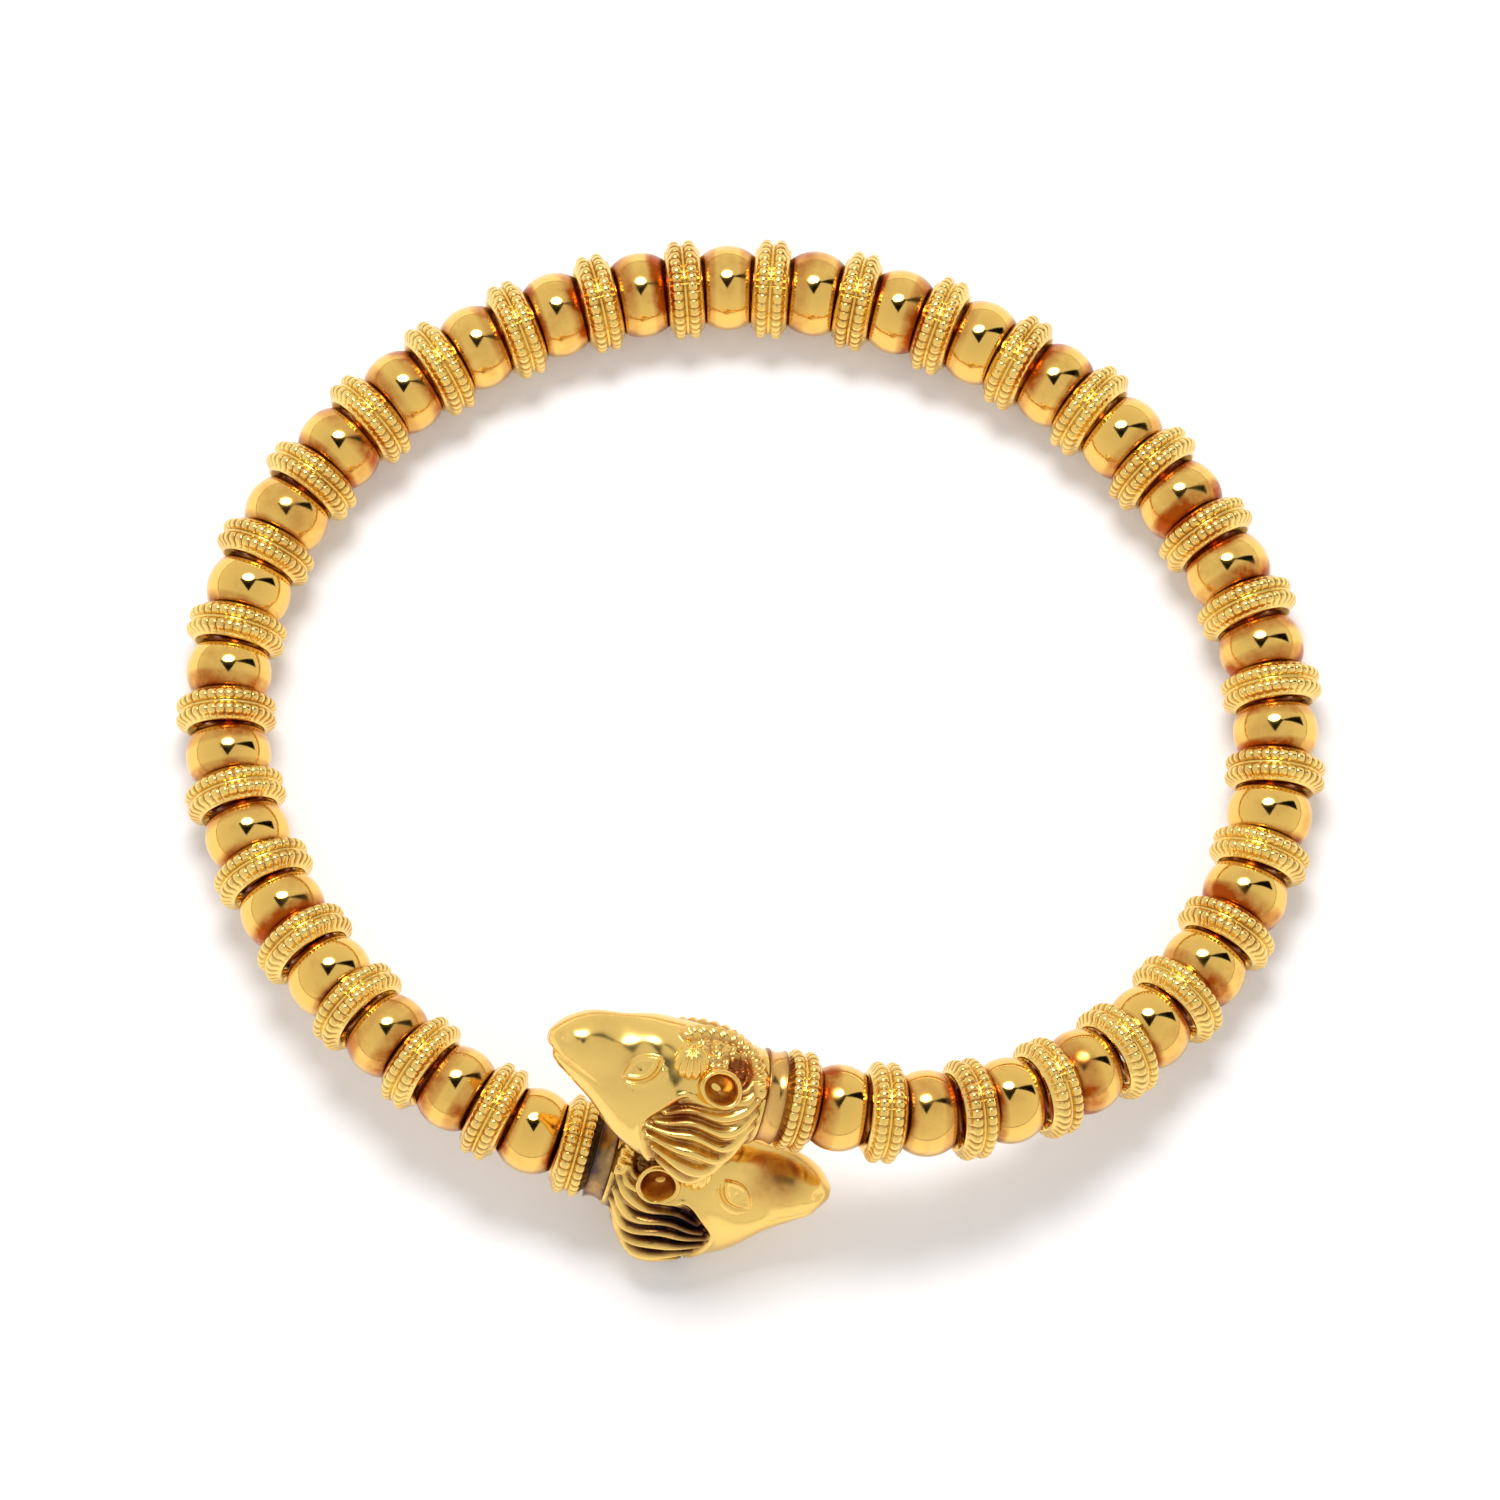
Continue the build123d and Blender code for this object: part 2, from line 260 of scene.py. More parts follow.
# Gold: its tarnish gathers in clouds about 8 mm across
CLOUD_SCALE = 1 / (8 * MM)
CLOUD_RANGE = (0.5, 0.75)          # the noise where a cloud begins and where it is full
MOTTLE_RANGE = (0.35, 0.6)         # the noise where a film is thinnest and thickest
MOTTLE_SHARES = (0.36, 1.15)       # of a film where it is thinnest and thickest
FILM_ROUGHNESS = 0.18              # what a full film adds to the roughness

# The camera, the table, the tent round it and the light, in metres
CAMERA_TARGET = Vector((-0.0001, -0.0007, 0.007))
CAMERA_HEIGHT_ANGLE = math.radians(74)
CAMERA_DISTANCE = 1.6
CAMERA_LENS = 284.6
TENT = 1.6                         # from the collar to the table's edge
TABLE_WHITE = "#F6F5F7"
TABLE_GLOW = 0.09                  # light that comes through the table from below
TENT_WHITE = (1.0, 0.99, 0.975, 1)
TENT_GLOW = (0.93, 0.76)           # at the horizon and overhead
EDGE_GAP = 0.035                   # height of the gap between the table and the tent
EDGE_BROWN = "#1A0E08"
GAP_BLACK = "#0A0805"
# Corners of the tent's gaps, as directions to the right, back and up, and their distance
CAMERA_GAP = ((-0.4, 0.31, 0.87), (0.34, 0.31, 0.88), (-0.03, -0.31, 0.95))
CAMERA_GAP_DISTANCE = 2.2
SEAM_GAP = ((0.21, 0.25, 0.94), (0.84, 0.47, 0.27), (0.97, 0.13, 0.22))
SEAM_GAP_DISTANCE = 2.0
LIGHT_DIRECTION = (-0.04, 0.4, 0.915)
LIGHT_DISTANCE = 1.4
LIGHT_SIZE = (0.68, 0.46)
LIGHT_POWER = 12                   # in watts


def middle_of(node):
    """The middle of a CAD node's box."""
    low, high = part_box(node)
    return (np.array(low) + np.array(high)) / 2


def unit(vectors):
    """Vectors divided by their length, along the last axis."""
    return vectors / np.linalg.norm(vectors, axis=-1, keepdims=True)


def axes_across(along):
    """Two unit vectors square to `along` and to each other."""
    first = unit(np.cross(along, (0.0, 0.0, 1.0)))
    return first, np.cross(along, first)


def read_string():
    """Places and axes of the beads and rings, from the lower head round to the upper one.

    A ring's middle is the middle of the box of its own vertices: each vertex of the two
    ring nodes belongs to the ring it lies nearest to. A bead's axis runs between its two
    rings, and a ring's axis between its two beads, or to the collar at either end."""
    beads = np.array([middle_of(f"bead_{n:02d}") for n in range(1, BEAD_COUNT + 1)])
    ends = {end: middle_of(f"neck_collar_{end}") for end in ("lower", "upper")}
    between = (beads[1:] + beads[:-1]) / 2
    near_lower = ends["lower"] + END_RING_SHARE * (beads[0] - ends["lower"])
    near_upper = ends["upper"] + END_RING_SHARE * (beads[-1] - ends["upper"])
    guess = np.vstack([near_lower, between, near_upper])
    nodes = [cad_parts[name] for name in ("spacer_rings_left", "spacer_rings_right")]
    vertices = np.vstack([[v.co for v in node.data.vertices] for node in nodes])
    nearest = np.argmin(np.linalg.norm(vertices[:, None] - guess[None], axis=2), axis=1)
    rings = np.array([
        (vertices[nearest == k].min(0) + vertices[nearest == k].max(0)) / 2
        for k in range(len(guess))
    ])
    bead_axes = unit(rings[1:] - rings[:-1])
    ring_axes = np.vstack([rings[:1] - ends["lower"], beads[1:] - beads[:-1], ends["upper"] - rings[-1:]])
    return beads, bead_axes, rings, unit(ring_axes)


beads, bead_axes, rings, ring_axes = read_string()


def surface(name, points, wrap_rows=False, cap_first=False, cap_last=False, outward=True):
    """A smooth mesh over a grid of points, whose columns always close into a loop.

    wrap_rows joins the last row to the first. A capped row is closed with a fan to its middle."""
    rows, columns = points.shape[:2]
    vertices = points.reshape(-1, 3)
    index = np.arange(rows * columns).reshape(rows, columns)
    lower = index if wrap_rows else index[:-1]
    upper = np.roll(index, -1, axis=0) if wrap_rows else index[1:]
    faces = np.stack([lower, np.roll(lower, -1, 1), np.roll(upper, -1, 1), upper], -1)
    faces = faces.reshape(-1, 4).tolist()
    for wanted, row, turn in ((cap_first, 0, -1), (cap_last, rows - 1, 1)):
        if wanted:
            hub = len(vertices)
            vertices = np.vstack([vertices, points[row].mean(0)])
            edge = index[row]
            following = np.roll(edge, -1)
            pairs = (edge, following) if turn > 0 else (following, edge)
            faces += [[int(a), int(b), hub] for a, b in zip(*pairs)]
    if not outward:
        faces = [face[::-1] for face in faces]
    mesh = bpy.data.meshes.new(name)
    mesh.from_pydata(vertices.tolist(), [], faces)
    mesh.polygons.foreach_set("use_smooth", [True] * len(mesh.polygons))
    mesh.update()
    return mesh


def placed(points, origin, x_axis, y_axis, z_axis):
    """Points of a piece's own frame carried to the object's frame."""
    return origin + points[..., :1] * x_axis + points[..., 1:2] * y_axis + points[..., 2:] * z_axis


def turned(profile, count, origin, along):
    """A closed profile of (distance along the axis, radius) turned round the axis."""
    first, second = axes_across(along)
    angle = np.linspace(0, 2 * math.pi, count, endpoint=False)
    length, radius = profile[:, 0], profile[:, 1]
    local = np.stack([
        radius[:, None] * np.cos(angle),
        radius[:, None] * np.sin(angle),
        np.repeat(length[:, None], count, 1),
    ], -1)
    return placed(local, origin, first, second, along)


def new_piece(mesh, material, nodes):
    """An object at the origin that rides on the collar and stands for its CAD nodes."""
    piece = bpy.data.objects.new(mesh.name, mesh)
    bpy.context.scene.collection.objects.link(piece)
    mesh.materials.append(material)
    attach(piece, "root")
    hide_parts(*nodes)


def linear(hex_colour):
    """An sRGB hex colour as linear red, green and blue."""
    parts = np.array([int(hex_colour[i:i + 2], 16) / 255 for i in (1, 3, 5)])
    return tuple(np.where(parts <= 0.04045, parts / 12.92, ((parts + 0.055) / 1.055) ** 2.4)) + (1.0,)


def add_node(tree, kind, settings=None, values=None, links=None):
    """A node with its settings, the values of its sockets and the sockets it is fed from."""
    node = tree.nodes.new(kind)
    for key, value in (settings or {}).items():
        setattr(node, key, value)
    for key, value in (values or {}).items():
        node.inputs[key].default_value = value
    for key, source in (links or {}).items():
        tree.links.new(source, node.inputs[key])
    return node


def add_range(tree, source, low, high, out_low, out_high):
    """A node that carries values between `low` and `high` to those between two others."""
    return add_node(tree, "ShaderNodeMapRange", {},
                    {"From Min": low, "From Max": high, "To Min": out_low, "To Max": out_high},
                    {"Value": source})


def gold(name, bright, red, dark, roughness, red_share):
    """Polished high-carat gold: red-brown tarnish in soft clouds and where the "tarnish"
    attribute says, and near-black patina where the "patina" attribute says."""
    material = bpy.data.materials.new(name)
    material.use_nodes = True
    tree = material.node_tree
    tree.nodes.clear()
    place = add_node(tree, "ShaderNodeTexCoord")
    clouds = add_node(tree, "ShaderNodeTexNoise", {},
                      {"Scale": CLOUD_SCALE, "Detail": 4.0, "Roughness": 0.65},
                      {"Vector": place.outputs["Object"]})
    cloud_share = add_range(tree, clouds.outputs["Fac"], *CLOUD_RANGE, 0.0, red_share)
    mottle = add_range(tree, clouds.outputs["Fac"], *MOTTLE_RANGE, *MOTTLE_SHARES)
    tarnish = add_node(tree, "ShaderNodeAttribute", {"attribute_name": "tarnish"})
    stain = add_node(tree, "ShaderNodeMath", {"operation": "MULTIPLY"}, {},
                     {0: tarnish.outputs["Fac"], 1: mottle.outputs["Result"]})
    red_film = add_node(tree, "ShaderNodeMath", {"operation": "ADD", "use_clamp": True}, {},
                        {0: cloud_share.outputs["Result"], 1: stain.outputs["Value"]})
    warm = add_node(tree, "ShaderNodeMix", {"data_type": "RGBA"},
                    {6: linear(bright), 7: linear(red)}, {0: red_film.outputs["Value"]})
    patina = add_node(tree, "ShaderNodeAttribute", {"attribute_name": "patina"})
    dark_film = add_node(tree, "ShaderNodeMath", {"operation": "MULTIPLY", "use_clamp": True}, {},
                         {0: patina.outputs["Fac"], 1: mottle.outputs["Result"]})
    colour = add_node(tree, "ShaderNodeMix", {"data_type": "RGBA"},
                      {7: linear(dark)}, {0: dark_film.outputs["Value"], 6: warm.outputs[2]})
    film = add_node(tree, "ShaderNodeMath", {"operation": "MAXIMUM"}, {},
                    {0: patina.outputs["Fac"], 1: red_film.outputs["Value"]})
    rough = add_range(tree, film.outputs["Value"], 0.0, 1.0, roughness, roughness + FILM_ROUGHNESS)
    metal = add_node(tree, "ShaderNodeBsdfPrincipled", {}, {"Metallic": 1.0},
                     {"Base Color": colour.outputs[2], "Roughness": rough.outputs["Result"]})
    add_node(tree, "ShaderNodeOutputMaterial", {}, {}, {"Surface": metal.outputs["BSDF"]})
    return material


# Sheet gold raised over a form and polished: sharp reflections, red-brown stain at the ends
bead_gold = gold("polished_sheet_gold", "#F3C668", "#AC4E10", "#5A2010", 0.09, 0.45)
# Beaded wire soldered on a drum: bright crowns, brown in the grooves left by the polishing cloth
ring_gold = gold("beaded_wire_gold", "#F8D47A", "#B46E26", "#3A220C", 0.14, 0.3)
# Turned collars, rarely rubbed: a duller gold under a brown and grey film
collar_gold = gold("tarnished_collar_gold", "#EBBC6C", "#9A5426", "#4A4044", 0.17, 0.3)
# Cast and chased gold: smooth worn high parts, blue-black sulphide left in the grooves, and painted shade
# under the ear
head_gold = gold("cast_chased_gold", "#F6CF74", "#A8602C", "#12111C", 0.19, 0.2)
# Drawn gold wire: plain and slightly dull, only glimpsed between beads and rings
wire_gold = gold("drawn_wire_gold", "#D9A455", "#8C4A2C", "#2A1A14", 0.25, 0.5)
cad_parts["core_wire"].data.materials.clear()
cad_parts["core_wire"].data.materials.append(wire_gold)


def point_value(mesh, name, values):
    """A number for each vertex, kept with the mesh for the material."""
    attribute = mesh.attributes.new(name, "FLOAT", "POINT")
    padded = np.zeros(len(mesh.vertices), np.float32)
    padded[:len(values)] = values
    attribute.data.foreach_set("value", padded)


def ramp(low, high, values):
    """0 below `low`, 1 above `high`, and straight between."""
    return ((values - low) / (high - low)).clip(0, 1)


def rise(low, high, values):
    """0 below `low`, 1 above `high`, and a smooth step between."""
    t = ramp(low, high, values)
    return t * t * (3 - 2 * t)


def ridge(away, half_width):
    """The profile across a soft line: 1 on the line, falling off as exp(-d * d) on both sides."""
    return np.exp(-(away / half_width) ** 2)


def bead_profile():
    """A bead's closed outline: the barrel's arc, then back through the bore."""
    along = BEAD_HALF_LENGTH * np.sin(np.linspace(-math.pi / 2, math.pi / 2, BEAD_ROWS))
    side = BEAD_RADIUS - BEAD_BARREL_RADIUS + np.sqrt(BEAD_BARREL_RADIUS**2 - along**2)
    bore = np.array([(BEAD_HALF_LENGTH, BEAD_BORE), (-BEAD_HALF_LENGTH, BEAD_BORE)])
    return np.vstack([np.stack([along, side], 1), bore])


def build_beads():
    """The polished beads, with tarnish growing towards both ends, more on some than on others."""
    profile = bead_profile()
    random = np.random.default_rng(5)
    place = profile[:, 0] / BEAD_HALF_LENGTH
    rim = ramp(*BEAD_RIM, np.abs(place)) * BEAD_RIM_PATINA
    for number, (origin, along) in enumerate(zip(beads, bead_axes), 1):
        points = turned(profile, BEAD_COLUMNS, origin, along)
        mesh = surface(f"bead_{number:02d}_polished", points, wrap_rows=True)
        start, finish = random.uniform(*STAIN_STARTS, 2)
        stain = np.where(place < 0, ramp(start, 1, -place), ramp(finish, 1, place)) ** STAIN_SOFTNESS
        stain *= random.uniform(*STAIN_STRENGTHS)
        point_value(mesh, "tarnish", np.repeat(stain, BEAD_COLUMNS))
        point_value(mesh, "patina", np.repeat(rim, BEAD_COLUMNS))
        new_piece(mesh, bead_gold, [f"bead_{number:02d}"])


def ring_points(origin, along, phase):
    """One ring: its outline turned round the axis, with the rows cut into granules, and the
    share to which each point lies in a groove or in the valley's foot.

    Each point of a row lies on a line from the row's middle. Between two granules it comes
    nearer to the middle by GRANULE_CUT * |u| ** 5, where u runs from -1 to 1 across a granule."""
    side = RING_SIDE * (MM, MM, 1)
    wire_turn = np.radians(VALLEY_WIRE_TURNS)
    wire = np.stack([VALLEY_WIRE * np.cos(wire_turn), VALLEY_RADIUS + VALLEY_WIRE * np.sin(wire_turn),
                     0 * wire_turn], 1)
    outline = np.vstack([side[::-1] * (-1, 1, 1), wire, side])
    across = np.array(GRANULE_STEPS)
    turn = (np.arange(GRANULES)[:, None] + (across + 1) / 2 + phase).reshape(-1) / GRANULES
    angle = turn * 2 * math.pi
    groove = np.tile(np.abs(across) ** 5, GRANULES)
    middle = np.stack([np.sign(outline[:, 0]) * ROW_MIDDLE[0], np.full(len(outline), ROW_MIDDLE[1])], 1)
    reach = 1 - GRANULE_CUT * outline[:, 2:3] * groove
    length = middle[:, :1] + (outline[:, :1] - middle[:, :1]) * reach
    radius = middle[:, 1:] + (outline[:, 1:2] - middle[:, 1:]) * reach
    first, second = axes_across(along)
    local = np.stack([radius * np.cos(angle), radius * np.sin(angle), length], -1)
    hollow = np.maximum(outline[:, 2:3] * groove, outline[:, 1:2] == side[0, 1])
    return placed(local, origin, first, second, along), hollow


def build_rings():
    """The granulated rings, each half of the string as one piece."""
    half = len(rings) // 2
    phases = np.random.default_rng(7).random(len(rings))
    for name, chosen in (("left", range(half)), ("right", range(half, len(rings)))):
        meshes = []
        for k in chosen:
            points, hollow = ring_points(rings[k], ring_axes[k], phases[k])
            mesh = surface(f"ring_{k}", points, wrap_rows=True)
            point_value(mesh, "tarnish", hollow.reshape(-1) * GROOVE_TARNISH)
            point_value(mesh, "patina", hollow.reshape(-1) ** 2 * GROOVE_PATINA)
            meshes.append(mesh)
        joined = join_meshes(f"granulated_rings_{name}", meshes)
        new_piece(joined, ring_gold, [f"spacer_rings_{name}"])


def join_meshes(name, meshes):
    """Several meshes as one, with their vertex values kept."""
    vertices, faces, values = [], [], {"tarnish": [], "patina": []}
    count = 0
    for mesh in meshes:
        coordinates = np.empty(len(mesh.vertices) * 3, np.float32)
        mesh.vertices.foreach_get("co", coordinates)
        vertices.append(coordinates.reshape(-1, 3))
        faces += [[v + count for v in face.vertices] for face in mesh.polygons]
        for key in values:
            found = np.zeros(len(mesh.vertices), np.float32)
            if key in mesh.attributes:
                mesh.attributes[key].data.foreach_get("value", found)
            values[key].append(found)
        count += len(mesh.vertices)
        bpy.data.meshes.remove(mesh)
    joined = bpy.data.meshes.new(name)
    joined.from_pydata(np.vstack(vertices).tolist(), [], faces)
    joined.polygons.foreach_set("use_smooth", [True] * len(joined.polygons))
    joined.update()
    for key, parts in values.items():
        point_value(joined, key, np.concatenate(parts))
    return joined


def build_collars():
    """The smooth waisted collars between the last rings and the heads.

    At a share u of the half length the side lies 1 - u*u of the waist below the rims."""
    bow = np.linspace(-1, 1, COLLAR_ROWS)
    side = COLLAR_RADIUS - COLLAR_WAIST * (1 - bow**2)
    profile = np.vstack([np.stack([bow * COLLAR_LENGTH / 2, side], 1),
                         [(COLLAR_LENGTH / 2, BEAD_BORE), (-COLLAR_LENGTH / 2, BEAD_BORE)]])
    rim = np.repeat((np.abs(profile[:, 0]) / (COLLAR_LENGTH / 2)) ** 4, COLLAR_COLUMNS)
    for end, along in (("lower", ring_axes[0]), ("upper", ring_axes[-1])):
        points = turned(profile, COLLAR_COLUMNS, middle_of(f"neck_collar_{end}"), along)
        mesh = surface(f"neck_collar_{end}_smooth", points, wrap_rows=True)
        point_value(mesh, "tarnish", COLLAR_TARNISH + COLLAR_RIM_TARNISH * rim)
        point_value(mesh, "patina", COLLAR_PATINA[end] + COLLAR_RIM_PATINA * rim)
        new_piece(mesh, collar_gold, [f"neck_collar_{end}"])


def smooth_column(table, column, places):
    """A table's column at any place along its first column, on a smooth curve through its rows."""
    x, y = table[:, 0], table[:, column]
    slope = np.gradient(y, x)
    row = np.clip(np.searchsorted(x, places) - 1, 0, len(x) - 2)
    width = x[row + 1] - x[row]
    t = (places - x[row]) / width
    return ((2 * t**3 - 3 * t**2 + 1) * y[row] + (t**3 - 2 * t**2 + t) * width * slope[row]
            + (3 * t**2 - 2 * t**3) * y[row + 1] + (t**3 - t**2) * width * slope[row + 1])


def hump(along, level, middle_along, middle_level, reach, height):
    """A soft round swelling of the skin, or a hollow where the height is below 0."""
    return height * ridge(np.hypot(along - middle_along, level - middle_level), reach)


def head_skin():
    """One side of the head before its relief: points, and distance round from the crown, in mm.

    Row by row the section is two half ellipses; theta runs from the crown to the throat."""
    share = 1 - (1 - np.linspace(0, 1, HEAD_ROWS)) ** HEAD_ROW_CROWDING
    share[-1] = 1.0
    crown = smooth_column(HEAD_SECTIONS, 1, share) * CROWN_HEIGHT
    throat = smooth_column(HEAD_SECTIONS, 2, share) * THROAT_DEPTH
    width = smooth_column(HEAD_SECTIONS, 3, share) * CHEEK_HALF_WIDTH
    widest = smooth_column(HEAD_SECTIONS, 4, share) * CROWN_HEIGHT
    theta = np.linspace(0, math.pi, HEAD_HALF_COLUMNS + 1)
    upper = theta <= math.pi / 2
    reach = np.where(upper, (crown - widest)[:, None], (throat + widest)[:, None])
    points = np.stack([
        np.repeat(share[:, None] * HEAD_LENGTH, len(theta), 1),
        width[:, None] * np.sin(theta),
        widest[:, None] + reach * np.cos(theta),
    ], -1)
    steps = np.linalg.norm(np.diff(points, axis=1), axis=2)
    around = np.concatenate([np.zeros((HEAD_ROWS, 1)), np.cumsum(steps, 1)], 1)
    return points, around


def skin_normals(points):
    """Outward directions of one side of the skin."""
    down = np.gradient(points, axis=0)
    across = np.gradient(points, axis=1)
    return unit(np.cross(down, across) + 1e-12)


def along_route(stops, count=60):
    """Evenly numbered points on the smooth curve through three or more stops."""
    stops = np.array(stops, float)
    t = np.linspace(0, len(stops) - 1, count)
    table = np.column_stack([np.arange(len(stops)), stops])
    return np.stack([smooth_column(table, k + 1, t) for k in range(stops.shape[1])], 1)


def nearest_on(route, along, around):
    """Distance from each skin point to a route, share of the way along it and the side it lies on."""
    best = np.full(along.shape, np.inf)
    share = np.zeros(along.shape)
    side = np.zeros(along.shape)
    for k, (a, b) in enumerate(zip(route[:-1], route[1:])):
        run = b - a
        length = run @ run
        t = (((along - a[0]) * run[0] + (around - a[1]) * run[1]) / length).clip(0, 1)
        dx, dy = along - a[0] - t * run[0], around - a[1] - t * run[1]
        away = dx * dx + dy * dy
        closer = away < best
        best = np.where(closer, away, best)
        share = np.where(closer, (k + t) / (len(route) - 1), share)
        side = np.where(closer, np.sign(run[0] * dy - run[1] * dx), side)
    return np.sqrt(best), share, side


def on_skin(stops, points, around):
    """Stops given as along and level, as along and distance round from the crown, on the skin."""
    found = []
    for along, level in stops:
        row = int(np.argmin(np.abs(points[:, 0, 0] - along)))
        column = int(np.argmin(np.abs(points[row, :, 2] - level)))
        found.append((along, around[row, column]))
    return found


def eye_relief(along, level):
    """The almond eye: a low ball inside a raised rim, and creases under the lower lid.

    The almond's half height at a share u of its half length is 1 - u*u of the whole."""
    tilt = math.radians(EYE_TILT)
    dx, dz = along - EYE[0], level - EYE[1]
    a = dx * math.cos(tilt) + dz * math.sin(tilt)
    b = -dx * math.sin(tilt) + dz * math.cos(tilt)
    u = (a / EYE_HALF_LENGTH).clip(-1, 1)
    lid = EYE_HALF_HEIGHT * (1 - u**2)
    slope = 2 * EYE_HALF_HEIGHT * np.abs(u) / EYE_HALF_LENGTH
    past = np.abs(a) - EYE_HALF_LENGTH
    outside = (np.abs(b) - lid) / np.sqrt(1 + slope**2)
    outside = np.where(past > 0, np.hypot(past, b), outside)
    rim = EYE_RIM_HEIGHT * ridge(outside, EYE_RIM_HALF_WIDTH)
    off_middle = (a / EYE_HALF_LENGTH) ** 2 + (b / EYE_HALF_HEIGHT) ** 2
    ball = np.where(outside < 0, EYE_BALL_HEIGHT * np.sqrt((1 - off_middle).clip(0, 1)) - EYE_BALL_SINK, 0)
    pupil = -PUPIL_DEPTH * ridge(np.hypot(a, b), PUPIL_RADIUS)
    before_corner = EYE_HALF_LENGTH * EYE_CREASE_REACH - np.abs(a)
    creases = sum(height * ridge(outside - out, half_width) for out, height, half_width in EYE_CREASES)
    return rim + ball + pupil + np.where(b < 0, creases * rise(0, 0.7, before_corner), 0)


def face_relief(along, level):
    """The bare face: its swellings and hollows, the eye, and the mouth as a line that fades."""
    face = sum(hump(along, level, *form) for form in FACE_FORMS) + eye_relief(along, level)
    away, share, _ = nearest_on(along_route(MOUTH, 30), along, level)
    return face - MOUTH_DEPTH * ridge(away, MOUTH_HALF_WIDTH) * (1 - MOUTH_FADE * share)


def lock_relief(points, around):
    """Height of the locks, the highest one at each place.

    A lock is a half round across, leaning to one side and parted by a fine line. Its thickness
    and height follow half a wave of a sine, so both are least at its ends. All the locks sway
    by LOCK_WAVE."""
    along = points[..., 0]
    waved = around + LOCK_WAVE * np.sin(LOCK_WAVE_TURN[0] * along + LOCK_WAVE_TURN[1] * around)
    strands = np.zeros(along.shape)
    for start, middle, end, thickness in LOCKS:
        stops = [(a * HEAD_LENGTH, l * THROAT_DEPTH) for a, l in (start, middle, end)]
        away, share, side = nearest_on(along_route(on_skin(stops, points, around), 40), along, waved)
        swell = LOCK_TIP + (1 - LOCK_TIP) * np.sin(math.pi * (0.12 + 0.84 * share))
        ratio = (away / (thickness / 2 * swell)).clip(0, 1)
        body = np.sqrt(1 - ratio**2) * (1 - LOCK_LEAN * side * ratio)
        parting = PARTING_DEPTH * ridge(away * side - PARTING_PLACE * thickness, PARTING_HALF_WIDTH)
        height = LOCK_HEIGHT * thickness * (body - parting) * (0.75 + 0.3 * np.sin(math.pi * share))
        strands = np.maximum(strands, np.where(ratio < 1, height, 0))
    return strands


def crest_relief(points, around):
    """Height of the twisted crest, a half round cut by slanting grooves, and the side of it
    that each place lies on."""
    away, share, side = nearest_on(along_route(on_skin(CREST, points, around)), points[..., 0], around)
    round_top = np.sqrt((1 - (away / (CREST_WIDTH / 2)) ** 2).clip(0, 1))
    twist = np.abs(np.sin(math.pi * CREST_TURNS * share + CREST_SLANT * away * side)) ** 0.6
    return CREST_HEIGHT * round_top * (0.5 + 0.5 * twist), side


def fleece_relief(along, level):
    """The fleece's curls: small half balls, each a little off its place on a square grid."""
    random = np.random.default_rng(11)
    fleece = np.zeros(along.shape)
    for a in np.arange(*FLEECE_LENGTH, CURL_SPACING):
        for l in np.arange(*FLEECE_LEVELS, CURL_SPACING):
            dx, dl = random.uniform(-CURL_SHIFT, CURL_SHIFT, 2)
            radius = random.uniform(*CURL_RADII)
            away = ((along - a - dx) ** 2 + (level - l - dl) ** 2) / radius**2
            fleece = np.maximum(fleece, CURL_HEIGHT * np.sqrt((1 - away).clip(0, 1)))
    return fleece


def softened(values):
    """Each value averaged with its neighbours on the grid, as a casting softens a chased line."""
    for axis in (0, 1):
        padded = np.pad(values, [(1, 1) if k == axis else (0, 0) for k in (0, 1)], mode="edge")
        values = (np.delete(padded, (0, 1), axis) + 2 * values + np.delete(padded, (-1, -2), axis)) / 4
    return values


